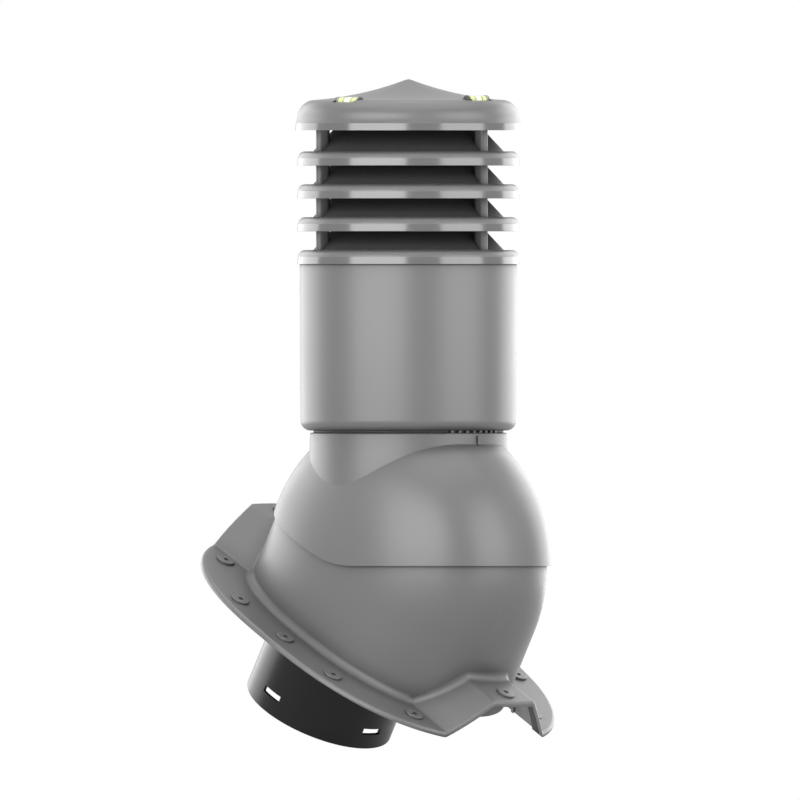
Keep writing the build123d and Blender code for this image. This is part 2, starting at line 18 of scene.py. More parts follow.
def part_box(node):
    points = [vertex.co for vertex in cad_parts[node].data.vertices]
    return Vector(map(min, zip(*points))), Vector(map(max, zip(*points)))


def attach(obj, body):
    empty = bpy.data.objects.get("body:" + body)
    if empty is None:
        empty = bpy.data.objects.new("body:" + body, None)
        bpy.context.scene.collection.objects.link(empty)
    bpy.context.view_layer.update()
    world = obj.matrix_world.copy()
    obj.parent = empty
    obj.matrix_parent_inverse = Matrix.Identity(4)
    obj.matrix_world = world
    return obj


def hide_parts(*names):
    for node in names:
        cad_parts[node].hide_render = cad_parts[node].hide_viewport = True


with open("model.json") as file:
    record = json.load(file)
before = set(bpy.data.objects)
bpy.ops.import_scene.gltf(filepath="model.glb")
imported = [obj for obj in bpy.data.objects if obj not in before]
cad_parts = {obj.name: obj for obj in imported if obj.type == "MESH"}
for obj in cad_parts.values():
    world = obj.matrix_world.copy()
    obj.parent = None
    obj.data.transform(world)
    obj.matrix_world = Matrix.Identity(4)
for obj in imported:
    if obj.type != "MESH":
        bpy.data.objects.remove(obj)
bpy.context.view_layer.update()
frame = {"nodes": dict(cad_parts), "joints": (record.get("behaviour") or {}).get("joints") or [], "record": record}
NODES = frame["nodes"]
MM = 0.001
print("nodes in the frame:", len(NODES))

# %% [markdown]
# ## The camera
#
# In the photograph every level edge is dead straight, at the top and at the foot alike, so the
# view is taken square to the chimney. A camera with perspective would bend the rings' edges, so an
# orthographic one stands at the height of the picture's middle, turned 45 degrees from the slope.
# One pixel of the 800-pixel picture is 0.816 mm.

# %% The camera at the photograph's angle
PIXEL = 0.816 * MM
PICTURE_PIXELS = 800
VIEW_AZIMUTH = radians(45)
AXIS_PIXEL_X = 408.4       # the chimney's axis in the photograph
TILT_PIXEL_Y = 566.0       # the tilt axis in the photograph
TILT_HEIGHT = frame["joints"][0]["pos_m"][2]
CAMERA_DISTANCE = 12.0     # far enough to stay above the floor in low views

towards_camera = Vector((sin(VIEW_AZIMUTH), -cos(VIEW_AZIMUTH), 0))
picture_right = Vector((cos(VIEW_AZIMUTH), sin(VIEW_AZIMUTH), 0))
middle_x = (PICTURE_PIXELS / 2 - AXIS_PIXEL_X) * PIXEL
middle_z = TILT_HEIGHT + (TILT_PIXEL_Y - PICTURE_PIXELS / 2) * PIXEL

camera_data = bpy.data.cameras.new("camera")
camera_data.type = "ORTHO"
camera_data.ortho_scale = PICTURE_PIXELS * PIXEL
camera = bpy.data.objects.new("camera", camera_data)
camera.location = picture_right * middle_x + towards_camera * CAMERA_DISTANCE
camera.location.z = middle_z
camera.rotation_euler = (radians(90), 0, VIEW_AZIMUTH)
bpy.context.scene.collection.objects.link(camera)
bpy.context.scene.camera = camera
bpy.context.scene.view_settings.view_transform = "Standard"
print("camera at", [round(v, 3) for v in camera.location])

# %% [markdown]
# ## Light
#
# The photograph was lit by four tall soft boxes: two in front and two behind, which give the
# bright bands on the turned pieces and the bright rims at both sides, and by a large one overhead.
# The reflections in the hood's edge say where each one stood. Point lamps could light the object as
# well, but only wide area lamps give such bands. Angles count from the camera, to the right.

# %% Soft boxes
LIGHT_DISTANCE = 1.6
AIM_HEIGHT = 0.45
SOFT_BOXES = (
    # name, first and last angle, height of the middle, height of the box, watts
    ("front_left", -62, -2, 0.60, 1.5, 33.0),
    ("front_right", 33, 82, 0.60, 1.5, 20.5),
    ("back_left", -160, -106, 0.50, 1.5, 20.0),
    ("back_right", 114, 164, 0.50, 1.5, 20.0),
)
TOP_BOX = (2.0, 2.2, 21.0)         # height, side, watts


def soft_box(name, first, last, height, tall, watts):
    """A tall area lamp that stands on an arc about the object and faces it."""
    middle = radians((first + last) / 2)
    width = 2 * LIGHT_DISTANCE * tan(radians(last - first) / 2)
    lamp = bpy.data.lights.new(name, "AREA")
    lamp.shape = "RECTANGLE"
    lamp.size = width
    lamp.size_y = tall
    lamp.energy = watts
    holder = bpy.data.objects.new(name, lamp)
    direction = towards_camera * cos(middle) + picture_right * sin(middle)
    holder.location = direction * LIGHT_DISTANCE
    holder.location.z = height
    aim = Vector((0, 0, AIM_HEIGHT)) - holder.location
    holder.rotation_euler = aim.to_track_quat("-Z", "Y").to_euler()
    holder.visible_camera = False
    bpy.context.scene.collection.objects.link(holder)


def top_box():
    """A square area lamp that looks straight down on the object."""
    lamp = bpy.data.lights.new("overhead", "AREA")
    lamp.shape = "SQUARE"
    height, lamp.size, lamp.energy = TOP_BOX
    holder = bpy.data.objects.new("overhead", lamp)
    holder.location = (0, 0, height)
    holder.visible_camera = False
    bpy.context.scene.collection.objects.link(holder)


for box in SOFT_BOXES:
    soft_box(*box)
top_box()
print("lamps:", [box[0] for box in SOFT_BOXES])

# %% [markdown]
# ## The white room and the floor
#
# The ground of the picture is plain white. A world bright enough to look white would flood the
# object with light, so the room is white only for rays that see it straight, in a mirror or through
# glass, and adds little light of its own. The floor mixes the same white into its paint, and so
# keeps a faint shadow.

# %% World and floor
WORLD_LEVEL = 0.2          # what the white room adds to the lamps
FLOOR_LEVEL = -0.0675      # just under the stub's end
FLOOR_SIZE = 40.0
FLOOR_GREY = (0.4, 0.4, 0.4, 1)
FLOOR_ROUGHNESS = 0.9
FLOOR_GLOW = 0.9           # how much of the floor's look is the white room's
WHITE = (1, 1, 1, 1)


def set_ramp(ramp, results, values=(0.0, 1.0)):
    """Let a Map Range node turn one range of values into another."""
    ramp.inputs["From Min"].default_value, ramp.inputs["From Max"].default_value = values
    ramp.inputs["To Min"].default_value, ramp.inputs["To Max"].default_value = results


def seen_directly(tree):
    """1 for camera, mirror and glass rays, and 0 for the rays that light a surface."""
    path = tree.nodes.new("ShaderNodeLightPath")
    first, both = tree.nodes.new("ShaderNodeMath"), tree.nodes.new("ShaderNodeMath")
    first.operation = both.operation = "MAXIMUM"
    tree.links.new(path.outputs["Is Camera Ray"], first.inputs[0])
    tree.links.new(path.outputs["Is Glossy Ray"], first.inputs[1])
    tree.links.new(first.outputs["Value"], both.inputs[0])
    tree.links.new(path.outputs["Is Transmission Ray"], both.inputs[1])
    return both.outputs["Value"]


def white_room():
    """The world: white where it is seen, faint as a light."""
    world = bpy.data.worlds.new("white_studio")
    bpy.context.scene.world = world
    world.use_nodes = True
    nodes, links = world.node_tree.nodes, world.node_tree.links
    nodes.clear()
    output, room = nodes.new("ShaderNodeOutputWorld"), nodes.new("ShaderNodeBackground")
    strength = nodes.new("ShaderNodeMapRange")
    set_ramp(strength, (WORLD_LEVEL, 1.0))
    room.inputs["Color"].default_value = WHITE
    links.new(seen_directly(world.node_tree), strength.inputs["Value"])
    links.new(strength.outputs["Result"], room.inputs["Strength"])
    links.new(room.outputs["Background"], output.inputs["Surface"])


def floor_paint():
    """Grey paint that shows mostly as the white of the room."""
    paint = bpy.data.materials.new("studio_floor")
    paint.use_nodes = True
    nodes, links = paint.node_tree.nodes, paint.node_tree.links
    shader, output = nodes["Principled BSDF"], nodes["Material Output"]
    shader.inputs["Base Color"].default_value = FLOOR_GREY
    shader.inputs["Roughness"].default_value = FLOOR_ROUGHNESS
    glow, mix = nodes.new("ShaderNodeEmission"), nodes.new("ShaderNodeMixShader")
    share = nodes.new("ShaderNodeMath")
    share.operation = "MULTIPLY"
    share.inputs[1].default_value = FLOOR_GLOW
    links.new(seen_directly(paint.node_tree), share.inputs[0])
    links.new(share.outputs["Value"], mix.inputs["Fac"])
    links.new(shader.outputs["BSDF"], mix.inputs[1])
    links.new(glow.outputs["Emission"], mix.inputs[2])
    links.new(mix.outputs["Shader"], output.inputs["Surface"])
    return paint


def studio_floor():
    """A large square floor, which isn't part of the object."""
    half = FLOOR_SIZE / 2
    data = bpy.data.meshes.new("floor")
    corners = [(x * half, y * half, FLOOR_LEVEL) for x, y in ((-1, -1), (1, -1), (1, 1), (-1, 1))]
    data.from_pydata(corners, [], [(0, 1, 2, 3)])
    data.materials.append(floor_paint())
    floor = bpy.data.objects.new("floor", data)
    bpy.context.scene.collection.objects.link(floor)


white_room()
studio_floor()
print("floor level:", FLOOR_LEVEL)

# %% [markdown]
# ## The moulded grain
#
# Every finish works from the mesh's own coordinates. All the mouldings have a fine grain, which
# each material could make for itself. A shared group makes it once: a small noise for the bump and
# a wide, faint one that varies the roughness and the colour, as the cooling of a large moulding
# does. It also paints shade into the hollows, darkening their colour, and makes them rougher.

# %% The moulded grain
METRE_GRAINS = 1150        # grains in a metre of moulded surface
GRAIN_DEPTH = 0.00002      # metres
GRAIN_DETAIL = (3, 0.6)    # finer layers of the grain, and how strong each is to the last
WIDE_PATCHES = 14          # patches in a metre of the wide variation
PATCH_DETAIL = 4
NOISE_RANGE = (0.15, 0.85)         # where nearly all of a noise's values lie
SHADE_RANGE = (0.97, 1.03)
ROUGHNESS_RANGE = (0.9, 1.1)
# A hollow's ambient occlusion paints shade into the colour and makes the surface rougher.
HOLLOW_REACH = 0.02        # metres over which a hollow is felt
HOLLOW_SAMPLES = 6
HOLLOW_PAINTED_SHADE_POWER = 1.6       # power that darkens the shade of a hollow
HOLLOW_DULLS = 2.0         # roughness deep in a hollow, against 1 in the open


def group_socket(group, name, kind, default=None, way="INPUT"):
    """Add a socket to a node group's face."""
    socket = group.interface.new_socket(name, in_out=way, socket_type=kind)
    if default is not None:
        socket.default_value = default
    return socket


def grain_group():
    """Node group: moulded grain as a normal, slow changes of tone and roughness, and painted shade with more
    roughness in hollows.
    """
    group = bpy.data.node_groups.new("moulded_grain", "ShaderNodeTree")
    group_socket(group, "Grains", "NodeSocketFloat", METRE_GRAINS)
    group_socket(group, "Depth", "NodeSocketFloat", GRAIN_DEPTH)
    group_socket(group, "Hollow", "NodeSocketFloat", HOLLOW_REACH)
    group_socket(group, "Tone and painted shade", "NodeSocketFloat", 1.0, "OUTPUT")
    group_socket(group, "Roughness", "NodeSocketFloat", 0.3, "OUTPUT")
    group_socket(group, "Normal", "NodeSocketVector", None, "OUTPUT")
    nodes, links = group.nodes, group.links
    face_in, face_out = nodes.new("NodeGroupInput"), nodes.new("NodeGroupOutput")
    place = nodes.new("ShaderNodeTexCoord")
    fine, wide = nodes.new("ShaderNodeTexNoise"), nodes.new("ShaderNodeTexNoise")
    fine.inputs["Detail"].default_value = GRAIN_DETAIL[0]
    fine.inputs["Roughness"].default_value = GRAIN_DETAIL[1]
    wide.inputs["Scale"].default_value = WIDE_PATCHES
    wide.inputs["Detail"].default_value = PATCH_DETAIL
    bump = nodes.new("ShaderNodeBump")
    bump.inputs["Strength"].default_value = 1.0
    shade, rough = nodes.new("ShaderNodeMapRange"), nodes.new("ShaderNodeMapRange")
    set_ramp(shade, SHADE_RANGE, NOISE_RANGE)
    set_ramp(rough, ROUGHNESS_RANGE, NOISE_RANGE)
    links.new(place.outputs["Object"], fine.inputs["Vector"])
    links.new(place.outputs["Object"], wide.inputs["Vector"])
    links.new(face_in.outputs["Grains"], fine.inputs["Scale"])
    links.new(face_in.outputs["Depth"], bump.inputs["Distance"])
    links.new(fine.outputs["Fac"], bump.inputs["Height"])
    links.new(wide.outputs["Fac"], shade.inputs["Value"])
    links.new(wide.outputs["Fac"], rough.inputs["Value"])
    # Ambient occlusion: painted shade that darkens the colour in hollows, and more roughness there.
    hollow = nodes.new("ShaderNodeAmbientOcclusion")
    hollow.samples = HOLLOW_SAMPLES
    links.new(face_in.outputs["Hollow"], hollow.inputs["Distance"])
    painted_shade, both = nodes.new("ShaderNodeMath"), nodes.new("ShaderNodeMath")
    painted_shade.operation, both.operation = "POWER", "MULTIPLY"
    painted_shade.inputs[1].default_value = HOLLOW_PAINTED_SHADE_POWER
    links.new(hollow.outputs["AO"], painted_shade.inputs[0])
    links.new(painted_shade.outputs["Value"], both.inputs[0])
    links.new(shade.outputs["Result"], both.inputs[1])
    links.new(both.outputs["Value"], face_out.inputs["Tone and painted shade"])
    dull, duller = nodes.new("ShaderNodeMapRange"), nodes.new("ShaderNodeMath")
    set_ramp(dull, (HOLLOW_DULLS, 1.0))
    duller.operation = "MULTIPLY"
    links.new(hollow.outputs["AO"], dull.inputs["Value"])
    links.new(dull.outputs["Result"], duller.inputs[0])
    links.new(rough.outputs["Result"], duller.inputs[1])
    links.new(duller.outputs["Value"], face_out.inputs["Roughness"])
    links.new(bump.outputs["Normal"], face_out.inputs["Normal"])
    return group


GRAIN = grain_group()
print("grain group:", len(GRAIN.nodes), "nodes")

# %% [markdown]
# ## Finishes
#
# The mouldings are dark grey plastic, polished on the lowest band of each ring, and the stub is
# black. The steel, the foam and the levels have finishes of their own. One function makes every
# moulded finish from a colour and a roughness, because they differ in nothing else but the grain.

# %% The finishes
ZINC_CLOUDS = 900          # crystals in a metre of plated steel
ZINC_COLOUR = (0.62, 0.63, 0.64, 1)
ZINC_ROUGHNESS = (0.22, 0.4)
STREAKS = 160              # streaks in a metre of clear plastic
STREAK_RANGE = (0.6, 1.4)


def new_material(name):
    """A node material with its Principled shader and output."""
    material = bpy.data.materials.new(name)
    material.use_nodes = True
    return material, material.node_tree.nodes["Principled BSDF"]


def moulded(name, colour, roughness, specular=0.5,
            grains=METRE_GRAINS, depth=GRAIN_DEPTH, hollow=HOLLOW_REACH):
    """Moulded plastic, rubber or foam with its grain, and painted shade in its hollows."""
    material, shader = new_material(name)
    nodes, links = material.node_tree.nodes, material.node_tree.links
    grain = nodes.new("ShaderNodeGroup")
    grain.node_tree = GRAIN
    grain.inputs["Grains"].default_value = grains
    grain.inputs["Depth"].default_value = depth
    grain.inputs["Hollow"].default_value = hollow
    tint = nodes.new("ShaderNodeVectorMath")
    tint.operation = "SCALE"
    tint.inputs[0].default_value = colour
    scale = nodes.new("ShaderNodeMath")
    scale.operation = "MULTIPLY"
    scale.inputs[1].default_value = roughness
    links.new(grain.outputs["Tone and painted shade"], tint.inputs["Scale"])
    links.new(tint.outputs["Vector"], shader.inputs["Base Color"])
    links.new(grain.outputs["Roughness"], scale.inputs[0])
    links.new(scale.outputs["Value"], shader.inputs["Roughness"])
    links.new(grain.outputs["Normal"], shader.inputs["Normal"])
    shader.inputs["Specular IOR Level"].default_value = specular
    return material


def zinc_steel():
    """Zinc-plated steel with a faint crystalline cloud."""
    material, shader = new_material("zinc_steel")
    nodes, links = material.node_tree.nodes, material.node_tree.links
    place, cloud = nodes.new("ShaderNodeTexCoord"), nodes.new("ShaderNodeTexVoronoi")
    cloud.inputs["Scale"].default_value = ZINC_CLOUDS
    ramp = nodes.new("ShaderNodeMapRange")
    set_ramp(ramp, ZINC_ROUGHNESS)
    links.new(place.outputs["Object"], cloud.inputs["Vector"])
    links.new(cloud.outputs["Distance"], ramp.inputs["Value"])
    links.new(ramp.outputs["Result"], shader.inputs["Roughness"])
    shader.inputs["Base Color"].default_value = ZINC_COLOUR
    shader.inputs["Metallic"].default_value = 1
    return material


def clear_plastic(name, colour, roughness, see_through=0.0, glow=0.0):
    """Clear acrylic, or the fluid in it with a faint painted glow, with a roughness that varies in streaks."""
    material, shader = new_material(name)
    nodes, links = material.node_tree.nodes, material.node_tree.links
    place, streak = nodes.new("ShaderNodeTexCoord"), nodes.new("ShaderNodeTexNoise")
    streak.inputs["Scale"].default_value = STREAKS
    ramp = nodes.new("ShaderNodeMapRange")
    set_ramp(ramp, [roughness * share for share in STREAK_RANGE])
    links.new(place.outputs["Object"], streak.inputs["Vector"])
    links.new(streak.outputs["Fac"], ramp.inputs["Value"])
    links.new(ramp.outputs["Result"], shader.inputs["Roughness"])
    shader.inputs["Base Color"].default_value = colour
    shader.inputs["Alpha"].default_value = 1 - see_through
    shader.inputs["Emission Color"].default_value = colour
    shader.inputs["Emission Strength"].default_value = glow
    return material


GREY = (0.11, 0.11, 0.111)
POLISHED_GREY = (0.09, 0.09, 0.091)
BLACK = (0.006, 0.006, 0.0062)
FINISHES = {
    "grey_plastic": moulded("grey_plastic", GREY, 0.38, 0.7, depth=0.00003),
    "grey_polished": moulded("grey_polished", POLISHED_GREY, 0.16, 1.0, depth=0.000002),
    # The louvre cones take painted shade from hollows up to 7 cm off, which darkens them between the rings.
    "grey_louvre_painted_shade": moulded("grey_louvre_painted_shade", GREY, 0.45, 0.4, hollow=0.07),
    "black_plastic": moulded("black_plastic", BLACK, 0.3, 0.25),
    "seal_rubber": moulded("seal_rubber", (0.018, 0.018, 0.018), 0.6, grains=2400),
    "foam": moulded("foam", (0.6, 0.6, 0.58), 0.9, grains=700, depth=0.0002),
    "zinc_steel": zinc_steel(),
    "clear_tube": clear_plastic("clear_tube", (0.93, 0.95, 0.9, 1), 0.05, see_through=0.75),
    # The fluid's and the bubble's emission is painted light: a glow for the light through the fluid, a highlight
    # on the bubble.
    "level_fluid": clear_plastic("level_fluid", (0.66, 0.82, 0.03, 1), 0.25, glow=0.2),
    "level_bubble": clear_plastic("level_bubble", (0.92, 0.94, 0.86, 1), 0.12, glow=0.3),
    "level_mark": clear_plastic("level_mark", (0.06, 0.10, 0.01, 1), 0.3),
}
SLOT_OF = {row["node"]: row["material_slot"] for row in frame["record"]["subparts"]}
for node, slot in SLOT_OF.items():
    for place in NODES[node].material_slots:
        place.material = FINISHES[slot]
print("finishes:", sorted(FINISHES))

# %% [markdown]
# ## Turned pieces
#
# Most of the outlet is turned about the chimney's axis. A turned piece is a section of radius and
# height, in millimetres, whose corners are rounded and whose outline is then swept round. The radii
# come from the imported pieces, so a casing that changes in the model changes here as well.

# %% Helpers for turned pieces
TURN_STEPS = 240           # steps round a turned piece
FINE_TURN_STEPS = 320      # steps round a large one with a broad highlight
EDGE_ROUND = 0.35          # mm, the least rounding of a moulded edge
LARGE_ROUND = 1.0          # mm, from which a corner gets more steps
ROUND_STEPS = 4            # steps round a small corner of a section
LARGE_ROUND_STEPS = 12
SIDE_SHARE = 0.85          # how much of a side one rounded corner may take
STRAIGHT = 178             # degrees, from which a corner counts as straight
SHARP_ANGLE = 35           # degrees, from which an edge stays sharp
WELD = 1e-7                # metres, within which two points are one


def top_of(node):
    """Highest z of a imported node, in mm."""
    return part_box(node)[1][2] / MM


def foot_of(node):
    """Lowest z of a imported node, in mm."""
    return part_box(node)[0][2] / MM


def radius_of(node):
    """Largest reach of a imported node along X, in mm."""
    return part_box(node)[1][0] / MM


def rounded(points, least=EDGE_ROUND):
    """A closed outline with each corner replaced by a short arc; a third value is its radius."""
    out = []
    count = len(points)
    for index, point in enumerate(points):
        here = Vector(point[:2])
        radius = point[2] if len(point) > 2 else least
        before = Vector(points[index - 1][:2]) - here
        after = Vector(points[(index + 1) % count][:2]) - here
        angle = before.angle(after)
        if radius <= 0 or angle > radians(STRAIGHT):
            out.append(here)
            continue
        room = min(before.length * SIDE_SHARE, after.length * SIDE_SHARE)
        reach = min(radius / tan(angle / 2), room)
        start = here + before.normalized() * reach
        end = here + after.normalized() * reach
        weight = sin(angle / 2)
        steps = ROUND_STEPS if radius < LARGE_ROUND else LARGE_ROUND_STEPS
        for step in range(steps + 1):
            t = step / steps
            shares = ((1 - t) ** 2, 2 * t * (1 - t) * weight, t ** 2)
            total = sum(shares)
            out.append((start * shares[0] + here * shares[1] + end * shares[2]) / total)
    return out


def turn_into(mesh, outline, steps=TURN_STEPS):
    """Sweep a closed outline of radius and height about the upright axis into a bmesh."""
    rings = []
    for step in range(steps):
        angle = 2 * pi * step / steps
        x, y = cos(angle), sin(angle)
        rings.append([mesh.verts.new((p.x * x * MM, p.x * y * MM, p.y * MM)) for p in outline])
    for this, following in zip(rings, rings[1:] + rings[:1]):
        for index in range(len(outline)):
            other = (index + 1) % len(outline)
            mesh.faces.new((this[index], following[index], following[other], this[other]))


def finished(mesh, name, materials):
    """Turn a bmesh into an object with outward faces, smooth but for its sharp edges."""
    bmesh.ops.remove_doubles(mesh, verts=mesh.verts, dist=WELD)
    bmesh.ops.dissolve_degenerate(mesh, edges=mesh.edges, dist=WELD)
    bmesh.ops.recalc_face_normals(mesh, faces=mesh.faces)
    data = bpy.data.meshes.new(name)
    mesh.to_mesh(data)
    mesh.free()
    for material in materials:
        data.materials.append(material)
    data.shade_smooth()
    data.set_sharp_from_angle(angle=radians(SHARP_ANGLE))
    piece = bpy.data.objects.new(name, data)
    bpy.context.scene.collection.objects.link(piece)
    return piece


print("a turned piece has", TURN_STEPS, "steps, or", FINE_TURN_STEPS)

# %% [markdown]
# ## Cuts, blocks and posts
#
# Slots and seats could be modelled face by face. Here they are cut out of a piece by simple meshes,
# as a milling cutter would, and cups are joined on in the same way. The posts between the rings are
# upright columns with rounded corners.

# %% Helpers for cuts, blocks and posts
def cut(piece, tools, operation="DIFFERENCE"):
    """Cut other meshes out of a piece, or join them to it, and remove the tools."""
    for tool in tools:
        step = piece.modifiers.new("cut", "BOOLEAN")
        step.operation = operation
        step.solver = "EXACT"
        step.object = tool
        graph = bpy.context.evaluated_depsgraph_get()
        data = bpy.data.meshes.new_from_object(piece.evaluated_get(graph))
        piece.modifiers.remove(step)
        old = piece.data
        piece.data = data
        bpy.data.meshes.remove(old)
    for tool in tools:
        bpy.data.objects.remove(tool)
    piece.data.shade_smooth()
    piece.data.set_sharp_from_angle(angle=radians(SHARP_ANGLE))


def turn_about_axis(mesh, angle):
    """Turn a bmesh about the upright axis, in degrees."""
    turn = Matrix.Rotation(radians(angle), 3, "Z")
    bmesh.ops.rotate(mesh, verts=mesh.verts, cent=(0, 0, 0), matrix=turn)


def block(size, place, angle=0.0):
    """A block with sharp edges, in mm, moved out to a place and turned about the axis."""
    mesh = bmesh.new()
    bmesh.ops.create_cube(mesh, size=1.0)
    bmesh.ops.scale(mesh, verts=mesh.verts, vec=Vector(size) * MM)
    bmesh.ops.translate(mesh, verts=mesh.verts, vec=Vector(place) * MM)
    turn_about_axis(mesh, angle)
    return mesh


def column(size, outer, low, high, corner, steps=2 * ROUND_STEPS):
    """An upright post with rounded corners, in mm, whose outer face is at a radius."""
    mesh = bmesh.new()
    outline = []
    for x_side, y_side, start in ((1, 1, 0), (-1, 1, 90), (-1, -1, 180), (1, -1, 270)):
        x = outer - size[0] / 2 + x_side * (size[0] / 2 - corner)
        y = y_side * (size[1] / 2 - corner)
        for step in range(steps + 1):
            angle = radians(start + 90 * step / steps)
            outline.append((x + corner * cos(angle), y + corner * sin(angle)))
    ends = [[mesh.verts.new((x * MM, y * MM, z * MM)) for x, y in outline] for z in (low, high)]
    mesh.faces.new(ends[0][::-1])
    mesh.faces.new(ends[1])
    for index in range(len(outline)):
        other = (index + 1) % len(outline)
        mesh.faces.new((ends[0][index], ends[0][other], ends[1][other], ends[1][index]))
    return mesh


def merged(target, other):
    """Add one bmesh to another."""
    data = bpy.data.meshes.new("part")
    other.to_mesh(data)
    other.free()
    target.from_mesh(data)
    bpy.data.meshes.remove(data)


print("edges stay sharp from", SHARP_ANGLE, "degrees")

# %% [markdown]
# ## Louvre rings
#
# A ring is a turned-down edge with a flat top and a cone that leans in over the duct, to keep rain
# out and let air pass. Its lowest band is polished and shows the soft boxes sharply; the rest is
# grained, and the cone between two rings is darkened by painted shade from a wider reach. The posts
# are 11.5 mm deep, as the photograph shows them, where the imported ones have 15 mm. The rings could
# be modelled one by one, but all are alike: one ring with its three posts is made, and geometry
# nodes set it out in the next step.

# %% One ring
DUCT_WALL = 3.0
MOUTH_INSET = 5.5          # from the duct's bore in to the cone's mouth
RING_WALL = 2.2
RING_EDGE_HEIGHT = 11.6
RING_SHOULDER = 6.0
RING_FLARE = 0.8
RING_FLAT = 13.0
CONE_SLOPE = 47.0
CONE_ROUND = 1.0
CONE_MARGIN = 0.5          # where the shaded finish starts, inside the cone's foot
POST_SIZE = (11.5, 7.5)    # towards the axis, and across
POST_OUTER = 81.0
POST_ROUND = 3.6
POST_ANGLES = (7, 127, 247)

ring_radius = radius_of("louvre_ring_1")
ring_foot = foot_of("louvre_ring_1")
ring_pitch = foot_of("louvre_ring_2") - ring_foot
ring_count = sum(name.startswith("louvre_ring") for name in NODES)
cone_foot = ring_radius - RING_FLAT
cone_mouth = radius_of("inner_duct") - DUCT_WALL - MOUTH_INSET
cone_rise = (cone_foot - cone_mouth) * tan(radians(CONE_SLOPE))
cone_wall = RING_WALL / cos(radians(CONE_SLOPE))
seat_level = RING_EDGE_HEIGHT - RING_WALL
shoulder_radius = ring_radius - RING_FLARE

mesh = bmesh.new()
turn_into(mesh, rounded([
    (ring_radius, 0), (shoulder_radius, RING_EDGE_HEIGHT, RING_SHOULDER),
    (cone_foot, RING_EDGE_HEIGHT, CONE_ROUND), (cone_mouth, RING_EDGE_HEIGHT + cone_rise),
    (cone_mouth, RING_EDGE_HEIGHT + cone_rise - cone_wall),
    (cone_foot - (cone_wall - RING_WALL) / tan(radians(CONE_SLOPE)), seat_level),
    (shoulder_radius - RING_WALL, seat_level, RING_SHOULDER - RING_WALL),
    (ring_radius - RING_WALL, 0),
]))
polished_top = (RING_EDGE_HEIGHT - RING_SHOULDER) * MM
for face in mesh.faces:
    centre = face.calc_center_median()
    reach = hypot(centre.x, centre.y)
    outside = reach > (shoulder_radius - RING_WALL / 2) * MM
    face.material_index = 1 if outside and centre.z < polished_top else 0
    # Faces inside the cone's foot take the louvre finish, with its wider painted shade.
    if reach < (cone_foot - CONE_MARGIN) * MM:
        face.material_index = 2
for angle in POST_ANGLES:
    low, high = seat_level, ring_pitch + seat_level
    post = column(POST_SIZE, POST_OUTER, low, high, POST_ROUND)
    turn_about_axis(post, angle)
    merged(mesh, post)
one_ring = finished(mesh, "one_ring", [
    FINISHES["grey_plastic"], FINISHES["grey_polished"], FINISHES["grey_louvre_painted_shade"]])
print("one ring:", len(one_ring.data.polygons), "faces")

# %% [markdown]
# ## Four rings
#
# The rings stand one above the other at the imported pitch. An Array modifier would do as well, but a
# tree of geometry nodes with named inputs can be read and used again: a line of points, the ring on
# each point, and then real meshes, because the export drops instances.

# %% Four rings in a row
def set_out(name, item, count, offset, finish):
    """Set a mesh out in a straight row with geometry nodes; its first slot gets the finish."""
    tree = bpy.data.node_groups.new("set_out", "GeometryNodeTree")
    group_socket(tree, "Geometry", "NodeSocketGeometry", None, "OUTPUT")
    item_socket = group_socket(tree, "Item", "NodeSocketObject")
    count_socket = group_socket(tree, "Count", "NodeSocketInt", 1)
    offset_socket = group_socket(tree, "Offset", "NodeSocketVector")
    nodes, links = tree.nodes, tree.links
    face_in, face_out = nodes.new("NodeGroupInput"), nodes.new("NodeGroupOutput")
    line, place = nodes.new("GeometryNodeMeshLine"), nodes.new("GeometryNodeInstanceOnPoints")
    source, whole = nodes.new("GeometryNodeObjectInfo"), nodes.new("GeometryNodeRealizeInstances")
    links.new(face_in.outputs["Item"], source.inputs["Object"])
    links.new(face_in.outputs["Count"], line.inputs["Count"])
    links.new(face_in.outputs["Offset"], line.inputs["Offset"])
    links.new(line.outputs["Mesh"], place.inputs["Points"])
    links.new(source.outputs["Geometry"], place.inputs["Instance"])
    links.new(place.outputs["Instances"], whole.inputs["Geometry"])
    slot, plain = nodes.new("GeometryNodeInputMaterialIndex"), nodes.new("FunctionNodeCompare")
    paint = nodes.new("GeometryNodeSetMaterial")
    plain.data_type, plain.operation = "INT", "EQUAL"
    paint.inputs["Material"].default_value = finish
    links.new(slot.outputs["Material Index"], plain.inputs[2])
    links.new(plain.outputs["Result"], paint.inputs["Selection"])
    links.new(whole.outputs["Geometry"], paint.inputs["Geometry"])
    links.new(paint.outputs["Geometry"], face_out.inputs["Geometry"])
    holder = bpy.data.objects.new("holder", bpy.data.meshes.new("holder"))
    bpy.context.scene.collection.objects.link(holder)
    step = holder.modifiers.new("set_out", "NODES")
    step.node_group = tree
    step[item_socket.identifier] = item
    step[count_socket.identifier] = count
    step[offset_socket.identifier] = offset
    graph = bpy.context.evaluated_depsgraph_get()
    data = bpy.data.meshes.new_from_object(holder.evaluated_get(graph))
    data.name = name
    bpy.data.objects.remove(holder)
    piece = bpy.data.objects.new(name, data)
    bpy.context.scene.collection.objects.link(piece)
    return piece


pitch = (0, 0, ring_pitch * MM)
rings = set_out("louvre_rings", one_ring, ring_count, pitch, FINISHES["grey_plastic"])
rings.data.transform(Matrix.Translation((0, 0, ring_foot * MM)))
bpy.data.objects.remove(one_ring)
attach(rings, "outlet")
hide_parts(*[f"louvre_ring_{n + 1}" for n in range(ring_count)])
print("rings:", ring_count, "pitch", round(ring_pitch, 2), "faces", len(rings.data.polygons))

# %% [markdown]
# ## Hood
#
# The hood keeps rain off the duct. Its section is a lip, a nearly upright skirt, a round shoulder
# and a cone that sags a little towards its tip. Arcs through three measured points give the
# shoulder and the sag, which is simpler than a surface with many handles.

